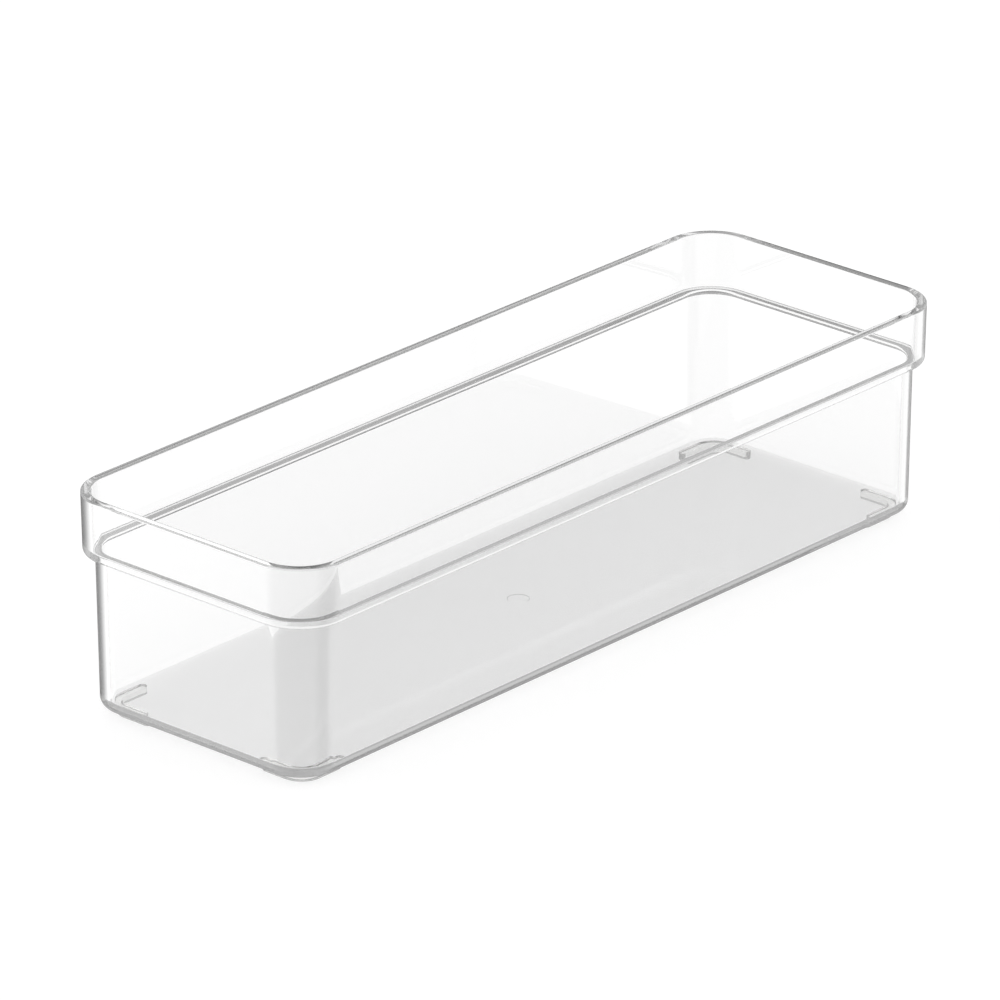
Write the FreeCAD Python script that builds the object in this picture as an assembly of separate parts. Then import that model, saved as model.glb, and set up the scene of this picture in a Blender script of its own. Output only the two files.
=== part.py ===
# Clear stacking drawer bin on four soft corner feet, in millimetres.
# +X runs along the bin, +Y points to its back and +Z up. The origin is on the ground, under the middle.
import FreeCAD, Part
import math
import os

from FreeCAD import Vector

# Outside of the bin
rim_length = 225.0
rim_width = 75.7
shell_height = 53.0        # underside of the floor up to the rim
rim_corner = 12.6          # plan radius of the collar's corners, at the rim
collar_height = 15.0       # rim down to the underside of the step
collar_draft = 1.05        # degrees that the collar leans in, going down
step = 2.5                 # how far the collar stands out past the body
body_corner = 10.6         # plan radius of the body's corners, at the step
body_draft = 0.83          # degrees that the body leans in, going down

# Walls
wall = 2.3
floor_thickness = 1.8
ledge_thickness = 1.5      # underside of the step up to the stacking ledge

# Rounded edges and roots of the bin
rim_round = 0.5
step_round = 1.2
step_root = 0.35
ledge_root = 0.45
ledge_round = 0.8
base_round = 2.3
floor_root = 1.0

# Gate mark, the round dimple that moulding leaves under the middle of the floor
gate_diameter = 6.0
gate_depth = 0.3
gate_root = 0.2

# Feet, L-shaped strips stuck under the corners of the floor
foot_height = 1.9
foot_width = 2.2
foot_leg = 13.0            # from the outer side of one leg to the end of the other
foot_bend = 5.6            # outer radius where the two legs meet
foot_round = 0.4           # lower edges
foot_setback = 1.6         # edge of the flat underside in to the foot
bond_line = 0.1            # adhesive between the foot and the floor

# Heights above the ground
base_level = foot_height + bond_line
floor_level = base_level + floor_thickness
rim_level = base_level + shell_height
step_level = rim_level - collar_height
ledge_level = step_level + ledge_thickness

overshoot = 1.0            # how far a cutting solid runs past the face that it opens
tolerance = 0.001


def outline(inset, corner, level):
    """A rounded rectangle at one height, set in from the plan of the rim on all sides."""
    centre_x = rim_length / 2 - inset - corner
    centre_y = rim_width / 2 - inset - corner
    signs = [(1, 1), (-1, 1), (-1, -1), (1, -1)]
    arcs = []
    for quarter, (side_x, side_y) in enumerate(signs):
        points = []
        for eighth in range(3):
            angle = math.radians(90 * quarter + 45 * eighth)
            x = side_x * centre_x + corner * math.cos(angle)
            y = side_y * centre_y + corner * math.sin(angle)
            points.append(Vector(x, y, level))
        arcs.append(points)
    edges = []
    for quarter, (start, middle, end) in enumerate(arcs):
        next_start = arcs[(quarter + 1) % 4][0]
        edges.append(Part.Arc(start, middle, end).toShape())
        edges.append(Part.LineSegment(end, next_start).toShape())
    return Part.Wire(edges)


def collar_inset(level):
    """How far the drafted outer face of the collar has come in at this height."""
    return (rim_level - level) * math.tan(math.radians(collar_draft))


def body_inset(level):
    """How far the drafted outer face of the body is in from the rim at this height."""
    draft = (step_level - level) * math.tan(math.radians(body_draft))
    return collar_inset(step_level) + step + draft


def collar_outline(level, depth=0.0):
    """Plan of the collar at this height, or of a face that lies depth further in."""
    inset = collar_inset(level) + depth
    return outline(inset, rim_corner - inset, level)


def body_outline(level, depth=0.0):
    """Plan of the body at this height, or of a face that lies depth further in."""
    inset = body_inset(level) + depth
    return outline(inset, body_corner + body_inset(step_level) - inset, level)


def between(low, high):
    """The drafted block from one outline up to another."""
    return Part.makeLoft([low, high], True, True)


def edges_along(shape, guide):
    """The edges of a shape whose middles lie on the guide."""
    found = []
    for edge in shape.Edges:
        middle = edge.valueAt((edge.FirstParameter + edge.LastParameter) / 2)
        if guide.distToShape(Part.Vertex(middle))[0] < tolerance:
            found.append(edge)
    return found


def make_bin():
    """One moulding: a floor, the body's walls, the stacking ledge and the wider collar above it."""
    body = between(body_outline(base_level), body_outline(ledge_level))
    collar = between(collar_outline(step_level), collar_outline(rim_level))
    body_hollow = between(body_outline(floor_level, wall), body_outline(ledge_level + overshoot, wall))
    collar_hollow = between(collar_outline(ledge_level, wall), collar_outline(rim_level + overshoot, wall))
    shell = body.fuse(collar).cut(collar_hollow).cut(body_hollow).removeSplitter()
    rounds = [
        (collar_outline(rim_level), rim_round),
        (collar_outline(rim_level, wall), rim_round),
        (collar_outline(step_level), step_round),
        (body_outline(step_level), step_root),
        (collar_outline(ledge_level, wall), ledge_root),
        (body_outline(ledge_level, wall), ledge_round),
        (body_outline(base_level), base_round),
        (body_outline(floor_level, wall), floor_root),
    ]
    for guide, radius in rounds:
        shell = shell.makeFillet(radius, edges_along(shell, guide))
    return shell.cut(make_gate_mark()).Solids[0]


def make_gate_mark():
    """The dimple under the floor, as the solid that it takes away."""
    mark = Part.makeCylinder(gate_diameter / 2, gate_depth + overshoot, Vector(0, 0, base_level - overshoot))
    top_edges = [edge for edge in mark.Edges if edge.BoundBox.ZMin > base_level]
    return mark.makeFillet(gate_root, top_edges)


def make_foot(side_x, side_y):
    """One foot strip: two equal legs along the bin's sides, joined by a bend round the corner."""
    edge_inset = body_inset(base_level) + base_round + foot_setback
    corner_x = rim_length / 2 - edge_inset
    corner_y = rim_width / 2 - edge_inset

    def at(along, across):
        return Vector(side_x * (corner_x - along), side_y * (corner_y - across), 0)

    inner_bend = foot_bend - foot_width
    outer_middle = foot_bend * (1 - math.sqrt(0.5))
    inner_middle = foot_bend - inner_bend * math.sqrt(0.5)
    tip = foot_leg - foot_width / 2
    half = foot_width / 2
    edges = [
        Part.LineSegment(at(foot_bend, 0), at(tip, 0)),
        Part.Arc(at(tip, 0), at(foot_leg, half), at(tip, foot_width)),
        Part.LineSegment(at(tip, foot_width), at(foot_bend, foot_width)),
        Part.Arc(at(foot_bend, foot_width), at(inner_middle, inner_middle), at(foot_width, foot_bend)),
        Part.LineSegment(at(foot_width, foot_bend), at(foot_width, tip)),
        Part.Arc(at(foot_width, tip), at(half, foot_leg), at(0, tip)),
        Part.LineSegment(at(0, tip), at(0, foot_bend)),
        Part.Arc(at(0, foot_bend), at(outer_middle, outer_middle), at(foot_bend, 0)),
    ]
    face = Part.Face(Part.Wire([edge.toShape() for edge in edges]))
    strip = face.extrude(Vector(0, 0, foot_height))
    lower_edges = [edge for edge in strip.Edges if edge.BoundBox.ZMax < tolerance]
    return strip.makeFillet(foot_round, lower_edges)


parts = {
    "bin_body": make_bin(),
    "foot_front_left": make_foot(-1, -1),
    "foot_front_right": make_foot(1, -1),
    "foot_rear_left": make_foot(-1, 1),
    "foot_rear_right": make_foot(1, 1),
}

os.makedirs("parts", exist_ok=True)
for name, shape in parts.items():
    box = shape.BoundBox
    print(name, shape.ShapeType, "valid", shape.isValid(), "volume %.1f" % shape.Volume)
    print("  x %.2f to %.2f, y %.2f to %.2f, z %.2f to %.2f" % (
        box.XMin, box.XMax, box.YMin, box.YMax, box.ZMin, box.ZMax))
    shape.exportStep("parts/" + name + ".step")
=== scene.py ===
# A clear stacking drawer bin on soft feet, in studio light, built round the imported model, in metres.
import math

import bpy
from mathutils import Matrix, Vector


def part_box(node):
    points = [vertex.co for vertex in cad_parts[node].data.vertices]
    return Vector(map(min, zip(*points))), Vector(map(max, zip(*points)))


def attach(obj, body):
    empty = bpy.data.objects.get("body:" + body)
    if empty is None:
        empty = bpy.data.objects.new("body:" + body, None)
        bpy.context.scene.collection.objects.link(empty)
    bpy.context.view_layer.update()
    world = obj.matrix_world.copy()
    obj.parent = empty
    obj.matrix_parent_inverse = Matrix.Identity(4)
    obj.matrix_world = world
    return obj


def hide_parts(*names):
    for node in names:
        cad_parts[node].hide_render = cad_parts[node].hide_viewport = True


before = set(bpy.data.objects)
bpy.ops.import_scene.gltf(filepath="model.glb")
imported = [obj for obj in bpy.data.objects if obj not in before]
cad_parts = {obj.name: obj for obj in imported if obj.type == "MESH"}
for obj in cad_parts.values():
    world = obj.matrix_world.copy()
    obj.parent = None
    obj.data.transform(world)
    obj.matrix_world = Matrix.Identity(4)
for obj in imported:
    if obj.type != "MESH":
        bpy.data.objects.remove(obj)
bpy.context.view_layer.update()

mm = 0.001


# colours, nodes and objects

def toLinear(hexColour):
    # an sRGB hex value as the linear colour that a socket takes
    channels = []
    for start in (1, 3, 5):
        value = int(hexColour[start:start + 2], 16) / 255
        channels.append(value / 12.92 if value <= 0.04045 else ((value + 0.055) / 1.055) ** 2.4)
    return (*channels, 1.0)


def addNode(tree, kind, settings=None, inputs=None):
    # settings are the node's own properties, inputs are socket values or the sockets to link from
    node = tree.nodes.new(kind)
    for name, value in (settings or {}).items():
        setattr(node, name, value)
    for name, value in (inputs or {}).items():
        if isinstance(value, bpy.types.NodeSocket):
            tree.links.new(value, node.inputs[name])
        else:
            node.inputs[name].default_value = value
    return node


def emptyTree(owner):
    owner.use_nodes = True
    owner.node_tree.nodes.clear()
    return owner.node_tree


def addObject(name, mesh, material):
    item = bpy.data.objects.new(name, mesh)
    bpy.context.scene.collection.objects.link(item)
    mesh.materials.append(material)
    return item


# materials

polystyrene = {
    "tint": "#FFFFFF",
    "ior": 1.59,
    "polish": 0.0,             # roughness where the mould's polish is whole
    "haze": 0.03,              # and where handling has dulled it
    "hazeWidth": 7.0 * mm,
    "hazeStart": 0.45,         # noise level where the dulling starts
    "hazeEnd": 0.7,            # and where it is whole
    "swellWidth": 16.0 * mm,   # slow swell that the flow and cooling of the plastic leave
    "swellHeight": 0.0015 * mm,
}


def makePolystyrene():
    # general purpose polystyrene from a polished mould: water-clear and glossy, so walls show as bright
    # edges and mirror images, which the slow swell of the surface bends a little
    material = bpy.data.materials.new("injectionMouldedPolystyrene")
    tree = emptyTree(material)
    place = addNode(tree, "ShaderNodeTexCoord").outputs["Object"]
    swell = addNode(tree, "ShaderNodeTexNoise", inputs={
        "Vector": place, "Scale": 1 / polystyrene["swellWidth"], "Detail": 1.0})
    surface = addNode(tree, "ShaderNodeBump", inputs={
        "Height": swell.outputs["Fac"], "Distance": polystyrene["swellHeight"]})
    wear = addNode(tree, "ShaderNodeTexNoise", inputs={
        "Vector": place, "Scale": 1 / polystyrene["hazeWidth"], "Detail": 4.0})
    dulled = addNode(tree, "ShaderNodeMapRange", inputs={
        "Value": wear.outputs["Fac"],
        "From Min": polystyrene["hazeStart"], "From Max": polystyrene["hazeEnd"],
        "To Min": polystyrene["polish"], "To Max": polystyrene["haze"]})
    plastic = addNode(tree, "ShaderNodeBsdfPrincipled", inputs={
        "Base Color": toLinear(polystyrene["tint"]),
        "Roughness": dulled.outputs["Result"],
        "IOR": polystyrene["ior"],
        "Transmission Weight": 1.0,
        "Normal": surface.outputs["Normal"],
    })
    addNode(tree, "ShaderNodeOutputMaterial", inputs={"Surface": plastic.outputs["BSDF"]})
    return material


elastomer = {
    "colour": "#FDFDFC",
    "roughness": 0.1,
    "ior": 1.49,
    "transmission": 0.97,      # the rest is its milkiness
    "grain": 0.35 * mm,        # satin texture of the mould, drawn about twice as coarse as it is
    "grainHeight": 0.004 * mm,
}


def makeElastomer():
    # clear styrene elastomer, moulded in a satin tool: a little milky, with soft highlights
    material = bpy.data.materials.new("mouldedClearElastomer")
    tree = emptyTree(material)
    place = addNode(tree, "ShaderNodeTexCoord").outputs["Object"]
    grain = addNode(tree, "ShaderNodeTexNoise", inputs={
        "Vector": place, "Scale": 1 / elastomer["grain"], "Detail": 2.0})
    surface = addNode(tree, "ShaderNodeBump", inputs={
        "Height": grain.outputs["Fac"], "Distance": elastomer["grainHeight"]})
    soft = addNode(tree, "ShaderNodeBsdfPrincipled", inputs={
        "Base Color": toLinear(elastomer["colour"]),
        "Roughness": elastomer["roughness"],
        "IOR": elastomer["ior"],
        "Transmission Weight": elastomer["transmission"],
        "Normal": surface.outputs["Normal"],
    })
    addNode(tree, "ShaderNodeOutputMaterial", inputs={"Surface": soft.outputs["BSDF"]})
    return material


# both kinds of piece are stacks of rings. Each point keeps its true normal, so refraction stays clean.

def arc(centreX, centreY, radius, startAngle, endAngle, steps, hollow=False):
    # points of an arc, each with the direction that the surface faces there: inward where it is hollow
    points = []
    side = -1 if hollow else 1
    for step in range(steps + 1):
        angle = math.radians(startAngle + (endAngle - startAngle) * step / steps)
        outX, outY = math.cos(angle), math.sin(angle)
        points.append((centreX + radius * outX, centreY + radius * outY, side * outX, side * outY))
    return points


def stackRings(name, rings, material):
    # rings run from the lower cap to the upper one, each a list of (point, normal)
    count = len(rings[0])
    faces = []
    normals = []
    for lower, (ring, nextRing) in enumerate(zip(rings, rings[1:])):
        for step in range(count):
            after = (step + 1) % count
            here = lower * count
            faces.append((here + step, here + after, here + count + after, here + count + step))
            normals += [ring[step][1], ring[after][1], nextRing[after][1], nextRing[step][1]]
    last = (len(rings) - 1) * count
    faces.append(tuple(reversed(range(count))))
    normals += [(0, 0, -1)] * count
    faces.append(tuple(range(last, last + count)))
    normals += [(0, 0, 1)] * count
    mesh = bpy.data.meshes.new(name)
    mesh.from_pydata([point for ring in rings for point, normal in ring], [], faces)
    mesh.shade_smooth()
    mesh.normals_split_custom_set(normals)
    piece = addObject(name, mesh, material)
    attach(piece, "root")
    return piece


# the bin: its cross-section, carried round the rounded rectangle of its plan

shell = {
    "collarHeight": 15.0 * mm,
    "collarDraft": 1.05,       # degrees
    "rimCorner": 12.6 * mm,
    "step": 2.5 * mm,
    "bodyCorner": 10.6 * mm,
    "bodyDraft": 0.83,         # degrees
    "wall": 2.3 * mm,
    "floorThickness": 1.8 * mm,
    "ledgeThickness": 1.5 * mm,
    "rimRound": 0.5 * mm,
    "stepRound": 1.2 * mm,
    "stepRoot": 0.35 * mm,
    "ledgeRoot": 0.45 * mm,
    "ledgeRound": 0.8 * mm,
    "baseRound": 2.3 * mm,
    "floorRoot": 1.0 * mm,
    "gateRadius": 2.6 * mm,    # the round dimple that moulding leaves under the floor
    "gateDepth": 0.08 * mm,
    "gateRoot": 0.07 * mm,
    "gateEdge": 0.07 * mm,
    "cornerSteps": 64,
    "roundSteps": 12,
}


def bend(inset, level, radius, startAngle, endAngle, corner, hollow=False):
    # a rounded edge or root in the cross-section: 0 degrees faces out of the bin and 90 faces up
    centre = -inset            # arcs count outward, insets count inward
    if hollow:                 # a root faces its own centre, so its arc lies half a turn on
        startAngle, endAngle = startAngle + 180, endAngle + 180
    stations = []
    steps = shell["roundSteps"]
    for out, up, faceOut, faceUp in arc(centre, level, radius, startAngle, endAngle, steps, hollow):
        stations.append((-out, up, faceOut, faceUp, corner + out))
    return stations


def binStations(base, rim):
    # (inset from the rim's plan, height, outward and upward part of the normal, plan radius of the corner)
    collarDraft, bodyDraft = shell["collarDraft"], shell["bodyDraft"]
    collarSlope, bodySlope = math.tan(math.radians(collarDraft)), math.tan(math.radians(bodyDraft))
    collarLean, bodyLean = 1 / math.cos(math.radians(collarDraft)), 1 / math.cos(math.radians(bodyDraft))
    stepLevel = rim - shell["collarHeight"]
    ledge = stepLevel + shell["ledgeThickness"]
    floor = base + shell["floorThickness"]
    wall = shell["wall"]
    bodyTop = shell["collarHeight"] * collarSlope + shell["step"]
    rimCorner = shell["rimCorner"]
    bodyCorner = shell["bodyCorner"] + bodyTop

    def collarFace(level):
        return (rim - level) * collarSlope

    def bodyFace(level):
        return bodyTop + (stepLevel - level) * bodySlope

    stations = []
    radius, level = shell["baseRound"], base + shell["baseRound"]
    stations += bend(bodyFace(level) + radius * bodyLean, level, radius, -90, -bodyDraft, bodyCorner)
    radius, level = shell["stepRoot"], stepLevel - shell["stepRoot"]
    stations += bend(bodyFace(level) - radius * bodyLean, level, radius, -bodyDraft, -90, bodyCorner, True)
    radius, level = shell["stepRound"], stepLevel + shell["stepRound"]
    stations += bend(collarFace(level) + radius * collarLean, level, radius, -90, -collarDraft, rimCorner)
    radius, level = shell["rimRound"], rim - shell["rimRound"]
    stations += bend(collarFace(level) + radius * collarLean, level, radius, -collarDraft, 90, rimCorner)
    stations += bend(collarFace(level) + wall - radius * collarLean, level, radius,
                     90, 180 - collarDraft, rimCorner)
    radius, level = shell["ledgeRoot"], ledge + shell["ledgeRoot"]
    stations += bend(collarFace(level) + wall + radius * collarLean, level, radius,
                     180 - collarDraft, 90, rimCorner, True)
    radius, level = shell["ledgeRound"], ledge - shell["ledgeRound"]
    stations += bend(bodyFace(level) + wall - radius * bodyLean, level, radius,
                     90, 180 - bodyDraft, bodyCorner)
    radius, level = shell["floorRoot"], floor + shell["floorRoot"]
    stations += bend(bodyFace(level) + wall + radius * bodyLean, level, radius,
                     180 - bodyDraft, 90, bodyCorner, True)
    return stations


def cornerRing(halfX, halfY, radius):
    # points round a rounded rectangle
    ring = []
    for quarter, (sideX, sideY) in enumerate(((1, 1), (-1, 1), (-1, -1), (1, -1))):
        ring += arc(sideX * (halfX - radius), sideY * (halfY - radius), radius,
                    90 * quarter, 90 * (quarter + 1), shell["cornerSteps"])
    return ring


def gateRings(base):
    # the dimple's root and its edge, with as many points round as the rings of the bin have
    radius, edge, root = shell["gateRadius"], shell["gateEdge"], shell["gateRoot"]
    quarter = shell["cornerSteps"] + 1
    sections = arc(radius - root, base + shell["gateDepth"] - root, root, 90, 0, shell["roundSteps"], True)
    sections += arc(radius + edge, base + edge, edge, 180, 270, shell["roundSteps"])
    rings = []
    for distance, level, faceOut, faceUp in sections:
        ring = []
        for step in range(4 * quarter):
            turn = math.pi / 2 * step / quarter
            outX, outY = math.cos(turn), math.sin(turn)
            point = (distance * outX, distance * outY, level)
            ring.append((point, (faceOut * outX, faceOut * outY, faceUp)))
        rings.append(ring)
    return rings


def makeBin(material):
    # from the middle of the underside out, up over the rim and down to the floor inside
    low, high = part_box("bin_body")
    stations = binStations(low[2], high[2])
    widest = min(inset for inset, level, out, up, radius in stations)
    halfX, halfY = high[0] + widest, high[1] + widest      # the widest station lies on the node's box
    rings = gateRings(low[2])
    for inset, level, out, up, radius in stations:
        ring = []
        for x, y, outX, outY in cornerRing(halfX - inset, halfY - inset, radius):
            ring.append(((x, y, level), (out * outX, out * outY, up)))
        rings.append(ring)
    piece = stackRings("binBody", rings, material)
    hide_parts("bin_body")


makeBin(makePolystyrene())
print("bin made")


# the feet: soft strips that wet the floor above them, so that no air shows between

foot = {
    "width": 2.2 * mm,
    "bend": 5.6 * mm,          # outer radius where the two legs meet
    "round": 0.4 * mm,         # lower edges
    "wetOut": 0.05 * mm,       # how far the bond reaches into the floor
    "arcSteps": 24,
    "roundSteps": 8,
}


def footRing(leg, inset):
    # the L-shaped outline, set in by a length and counted from the foot's outer corner
    half, turn, steps = foot["width"] / 2, foot["bend"], foot["arcSteps"]
    ring = arc(leg - half, half, half - inset, -90, 90, steps)
    ring += arc(turn, turn, turn - foot["width"] + inset, 270, 180, steps, True)
    ring += arc(half, leg - half, half - inset, 0, 180, steps)
    ring += arc(turn, turn, turn - inset, 180, 270, steps)
    return ring


def makeFoot(node, sideX, sideY, material):
    low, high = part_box(node)
    cornerX = high[0] if sideX > 0 else low[0]
    cornerY = high[1] if sideY > 0 else low[1]
    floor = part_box("bin_body")[0][2]
    radius = foot["round"]
    stations = arc(-radius, low[2] + radius, radius, -90, 0, foot["roundSteps"])
    stations.append((0.0, floor + foot["wetOut"], 1.0, 0.0))
    rings = []
    for out, level, faceOut, faceUp in stations:
        ring = []
        for along, across, outX, outY in footRing(high[0] - low[0], -out):
            point = (cornerX - sideX * along, cornerY - sideY * across, level)
            ring.append((point, (-sideX * faceOut * outX, -sideY * faceOut * outY, faceUp)))
        rings.append(ring if sideX * sideY > 0 else ring[::-1])    # mirrored feet run the other way round
    piece = stackRings(node.replace("foot", "softFoot"), rings, material)
    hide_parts(node)


def makeFeet(material):
    for front, sideY in (("front", -1), ("rear", 1)):
        for end, sideX in (("left", -1), ("right", 1)):
            makeFoot("foot_" + front + "_" + end, sideX, sideY, material)


makeFeet(makeElastomer())
print("feet made")


# studio: white paper under plain soft light. The clear walls mirror a ring of dark and bright boards.

studio = {
    "groundSize": 6.0,
    "paper": "#8B8B8B",        # matt share of the ground, which takes the shadow
    "paperGlow": 0.8,          # even share of the ground, which keeps it white
    "paintedShadowMiddle": 0.46,       # painted shadow: what mirrors see of the paper in the bin's own shade
    "paintedShadowEdge": 0.43,         # and the painted shadow below the outer few millimetres of the bin
    "paintedShadowSkin": 0.3,          # the same painted strip as the bin's outer skin mirrors it
    "manyMirrors": 8,          # light that met more mirrors than this has run a long way in the plastic
    "alongFloor": 0.55,        # how bright it is where it ran along the floor
    "fewPasses": 2,            # light that went through more surfaces than this ran round in the walls
    "alongWalls": 0.5,         # how bright it is there
    "paintedShadowAlong": 0.36,        # and the painted shade where it comes from the paper under the bin
    "edgeStart": 8 * mm,       # where the painted shadow's strip under the edge ends, measured inward from the rim's plan
    "edgeEnd": 14 * mm,
    "plainSky": 1.0,           # what the camera, bent rays and matt surfaces see of the sky
    "behind": 48.3,            # compass direction straight behind the bin, where the rings start
    "low": [                   # degrees clockwise from there, and what mirrors see below the horizon
        (-180, 0.5), (-120, 0.6),                      # grey in front
        (-90, 1.5), (-60, 1.2), (-30, 0.4),            # a bright board on the left
        (0, 0.0), (15, 0.3),                           # a dark one behind
        (30, 1.2), (55, 0.9), (80, 1.1),               # bright boards on the right
        (100, 0.3), (115, 0.0), (130, 0.1),            # a dark one to the right and in front
        (145, 0.5), (180, 0.5),                        # and grey again
    ],
    "high": [                  # the same above the horizon
        (-180, 0.25), (-90, 0.35), (-45, 0.35),
        (0, 0.1),
        (45, 0.5), (90, 0.2), (180, 0.25),
    ],
    "horizon": 0.03,           # half the height of the soft edge between the rings, as a sine
    "top": 0.7,
    "bottom": 0.5,
    "capStart": 45,            # degrees up and down where the rings start to give way to top and bottom
    "capEnd": 75,              # and where they have
    "bounces": 256,            # light runs a long way inside clear walls before it comes out
}

# settings that several nodes share. A colour mix has its share on socket 0, its colours on sockets 6 and 7
# and its result on output 2.
isOver = {"operation": "GREATER_THAN"}
smoothStep = {"interpolation_type": "SMOOTHSTEP"}
colourMix = {"data_type": "RGBA"}
betweenCounts = 0.5            # light path depths are whole numbers, and this tells one from the next


def grey(level):
    return (level, level, level, 1.0)


def metMirror(tree, path):
    # 1 for light that a mirror sent on, 0 for what the camera, a bent ray or a matt surface sees
    mirrored = addNode(tree, "ShaderNodeMath", isOver, {
        0: path.outputs["Glossy Depth"], 1: betweenCounts})
    scattered = addNode(tree, "ShaderNodeMath", isOver, {
        0: path.outputs["Diffuse Depth"], 1: betweenCounts})
    return addNode(tree, "ShaderNodeMath", {"operation": "SUBTRACT", "use_clamp": True}, {
        0: mirrored.outputs[0], 1: scattered.outputs[0]}).outputs[0]


def ranFar(tree, path):
    # 1 for light that has met so many mirrors that it ran a long way in the plastic
    return addNode(tree, "ShaderNodeMath", isOver, {
        0: path.outputs["Glossy Depth"], 1: studio["manyMirrors"] + betweenCounts}).outputs[0]


def makeRing(tree, turn, stops):
    # a ring of brightness round the compass: turn is 0 at -180 degrees and 1 at 180
    ring = addNode(tree, "ShaderNodeValToRGB", inputs={0: turn})
    marks = ring.color_ramp.elements
    marks[0].color = grey(stops[0][1])
    marks[1].color = grey(stops[-1][1])
    for degrees, level in stops[1:-1]:
        marks.new((degrees + 180) / 360).color = grey(level)
    return ring.outputs["Color"]


def addGround():
    # matt white paper: it takes a soft shadow, and its even share keeps it white round the bin. Under the
    # bin, mirrors see a painted shadow instead of the paper.
    material = bpy.data.materials.new("paperSweep")
    tree = emptyTree(material)
    path = addNode(tree, "ShaderNodeLightPath")
    paper = addNode(tree, "ShaderNodeBsdfDiffuse", inputs={"Color": toLinear(studio["paper"])})
    glow = addNode(tree, "ShaderNodeEmission", inputs={"Color": grey(studio["paperGlow"])})
    plain = addNode(tree, "ShaderNodeAddShader", inputs={0: paper.outputs[0], 1: glow.outputs[0]})

    # how far a point lies inside the rim's plan, seen from above
    place = addNode(tree, "ShaderNodeTexCoord")
    low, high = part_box("bin_body")
    across = addNode(tree, "ShaderNodeVectorMath", {"operation": "ABSOLUTE"}, {0: place.outputs["Object"]})
    inward = addNode(tree, "ShaderNodeVectorMath", {"operation": "SUBTRACT"}, {
        0: tuple(high), 1: across.outputs[0]})
    axes = addNode(tree, "ShaderNodeSeparateXYZ", inputs={0: inward.outputs[0]})
    nearest = addNode(tree, "ShaderNodeMath", {"operation": "MINIMUM"}, {
        0: axes.outputs["X"], 1: axes.outputs["Y"]})
    deep = addNode(tree, "ShaderNodeMapRange", smoothStep, {
        "Value": nearest.outputs[0], "From Min": studio["edgeStart"], "From Max": studio["edgeEnd"]})
    covered = addNode(tree, "ShaderNodeMath", isOver, {0: nearest.outputs[0], 1: 0.0})

    # painted shadow that mirrors see there: flat, darker glows in place of the paper's real shade under
    # the bin. All round it they see through the ground, to the ring below the horizon.
    entered = addNode(tree, "ShaderNodeMath", isOver, {
        0: path.outputs["Transmission Depth"], 1: betweenCounts})
    edge = addNode(tree, "ShaderNodeMix", colourMix, {
        0: entered.outputs[0], 6: grey(studio["paintedShadowSkin"]), 7: grey(studio["paintedShadowEdge"])})
    under = addNode(tree, "ShaderNodeMix", colourMix, {
        0: deep.outputs[0], 6: edge.outputs[2], 7: grey(studio["paintedShadowMiddle"])})
    level = addNode(tree, "ShaderNodeMix", colourMix, {
        0: ranFar(tree, path), 6: under.outputs[2], 7: grey(studio["paintedShadowAlong"])})
    # a glow painted as the paper's shadow under the bin, which only mirrors see
    paintedShadow = addNode(tree, "ShaderNodeEmission", inputs={"Color": level.outputs[2]})
    clear = addNode(tree, "ShaderNodeBsdfTransparent")
    reflected = addNode(tree, "ShaderNodeMixShader", inputs={
        0: covered.outputs[0], 1: clear.outputs[0], 2: paintedShadow.outputs[0]})
    both = addNode(tree, "ShaderNodeMixShader", inputs={
        0: metMirror(tree, path), 1: plain.outputs[0], 2: reflected.outputs[0]})
    addNode(tree, "ShaderNodeOutputMaterial", inputs={"Surface": both.outputs[0]})

    half = studio["groundSize"] / 2
    corners = [(-half, -half, 0), (half, -half, 0), (half, half, 0), (-half, half, 0)]
    mesh = bpy.data.meshes.new("ground")
    mesh.from_pydata(corners, [], [(0, 1, 2, 3)])
    addObject("ground", mesh, material)


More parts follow.
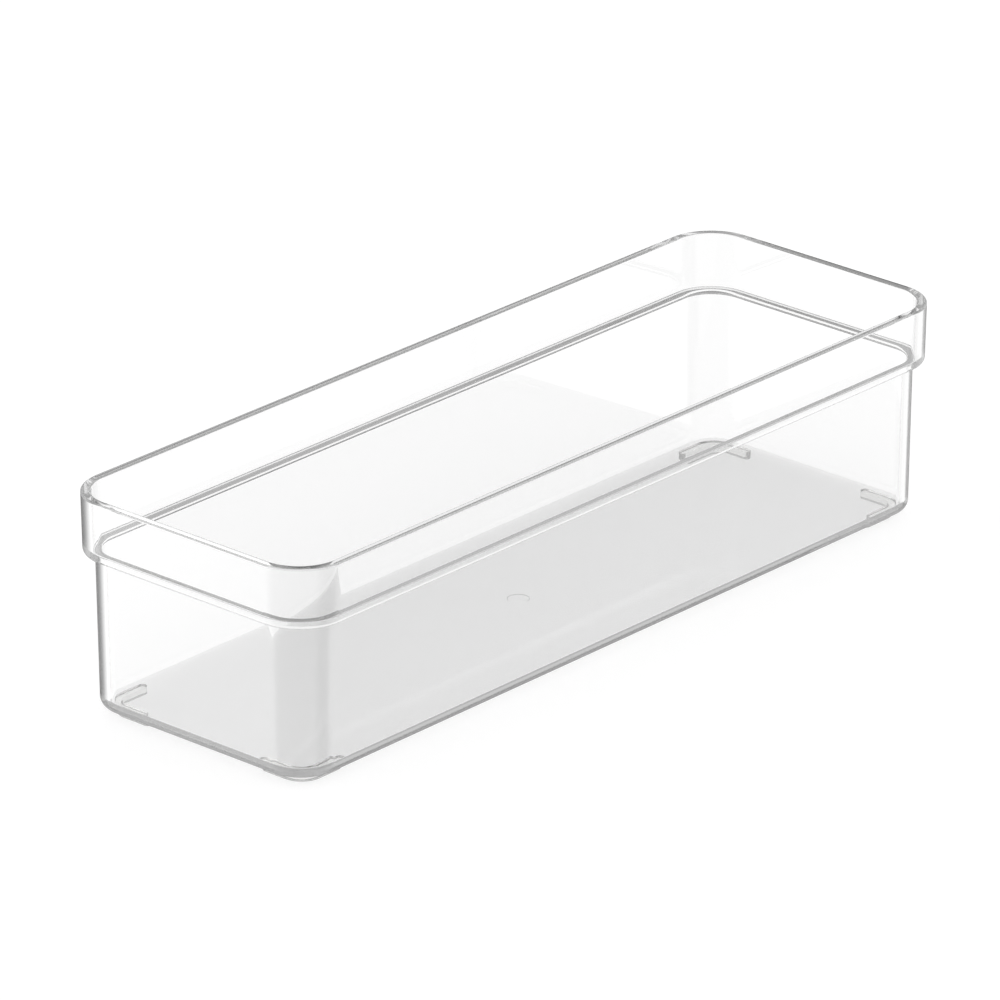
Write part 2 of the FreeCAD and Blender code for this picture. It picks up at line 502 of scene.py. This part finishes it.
def makeWorld():
    world = bpy.data.worlds.new("studioLight")
    bpy.context.scene.world = world
    tree = emptyTree(world)

    # the compass direction, from 0 to 1 with straight behind at a half, and the sine of the height
    place = addNode(tree, "ShaderNodeTexCoord")
    turned = addNode(tree, "ShaderNodeVectorRotate", {"rotation_type": "Z_AXIS"}, {
        "Vector": place.outputs["Generated"], "Angle": math.radians(studio["behind"])})
    axes = addNode(tree, "ShaderNodeSeparateXYZ", inputs={0: turned.outputs[0]})
    angle = addNode(tree, "ShaderNodeMath", {"operation": "ARCTAN2"}, {
        0: axes.outputs["X"], 1: axes.outputs["Y"]})
    turn = addNode(tree, "ShaderNodeMath", {"operation": "MULTIPLY_ADD"}, {
        0: angle.outputs[0], 1: 1 / (2 * math.pi), 2: 0.5}).outputs[0]
    height = axes.outputs["Z"]

    # the two rings, with a cap above and below them
    soft, start, end = studio["horizon"], math.radians(studio["capStart"]), math.radians(studio["capEnd"])
    above = addNode(tree, "ShaderNodeMapRange", smoothStep, {
        "Value": height, "From Min": -soft, "From Max": soft})
    sides = addNode(tree, "ShaderNodeMix", colourMix, {
        0: above.outputs[0],
        6: makeRing(tree, turn, studio["low"]),
        7: makeRing(tree, turn, studio["high"])})
    overhead = addNode(tree, "ShaderNodeMapRange", smoothStep, {
        "Value": height, "From Min": math.sin(start), "From Max": math.sin(end)})
    capped = addNode(tree, "ShaderNodeMix", colourMix, {
        0: overhead.outputs[0], 6: sides.outputs[2], 7: grey(studio["top"])})
    underfoot = addNode(tree, "ShaderNodeMapRange", smoothStep, {
        "Value": height, "From Min": -math.sin(start), "From Max": -math.sin(end)})
    direct = addNode(tree, "ShaderNodeMix", colourMix, {
        0: underfoot.outputs[0], 6: capped.outputs[2], 7: grey(studio["bottom"])})

    # the even level of light that ran far, and the plain sky of light that met no mirror
    path = addNode(tree, "ShaderNodeLightPath")
    inWalls = addNode(tree, "ShaderNodeMath", isOver, {
        0: path.outputs["Transmission Depth"], 1: studio["fewPasses"] + betweenCounts})
    along = addNode(tree, "ShaderNodeMix", colourMix, {
        0: inWalls.outputs[0], 6: grey(studio["alongFloor"]), 7: grey(studio["alongWalls"])})
    mirrored = addNode(tree, "ShaderNodeMix", colourMix, {
        0: ranFar(tree, path), 6: direct.outputs[2], 7: along.outputs[2]})
    level = addNode(tree, "ShaderNodeMix", colourMix, {
        0: metMirror(tree, path), 6: grey(studio["plainSky"]), 7: mirrored.outputs[2]})
    sky = addNode(tree, "ShaderNodeBackground", inputs={"Color": level.outputs[2]})
    addNode(tree, "ShaderNodeOutputWorld", inputs={"Surface": sky.outputs[0]})


addGround()
makeWorld()
print("studio lit")


# camera: a long lens, above the bin's near corner

camera = {
    "azimuth": -48.305,        # degrees
    "elevation": 22.843,
    "distance": 2.0999,
    "lens": 325.1,             # millimetres, as the sensor is
    "sensor": 36.0,
    "farthest": 20.0,          # what lies past this many metres isn't drawn
    "picture": 1000,           # pixels along each side of the picture
    "offsetRight": 14.231,     # pixels that the bin's middle stands off the picture's
    "offsetUp": 2.474,
}


def addCamera():
    azimuth, elevation = math.radians(camera["azimuth"]), math.radians(camera["elevation"])
    back = Vector((math.sin(azimuth) * math.cos(elevation), -math.cos(azimuth) * math.cos(elevation),
                   math.sin(elevation)))
    right = Vector((math.cos(azimuth), math.sin(azimuth), 0.0))
    up = back.cross(right)
    pixel = camera["sensor"] / camera["lens"] / camera["picture"]
    toward = -back - right * camera["offsetRight"] * pixel - up * camera["offsetUp"] * pixel
    low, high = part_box("bin_body")
    lens = bpy.data.cameras.new("studioCamera")
    lens.lens = camera["lens"]
    lens.sensor_width = camera["sensor"]
    lens.clip_end = camera["farthest"]
    item = bpy.data.objects.new("studioCamera", lens)
    item.location = Vector((0.0, 0.0, (low[2] + high[2]) / 2)) + back * camera["distance"]
    item.rotation_euler = (-toward).to_track_quat("Z", "Y").to_euler()
    bpy.context.scene.collection.objects.link(item)
    bpy.context.scene.camera = item


addCamera()
bpy.context.scene.view_settings.view_transform = "Standard"
lightPaths = bpy.context.scene.cycles
lightPaths.max_bounces = studio["bounces"]
lightPaths.transmission_bounces = studio["bounces"]
lightPaths.glossy_bounces = studio["bounces"]
print("camera placed")
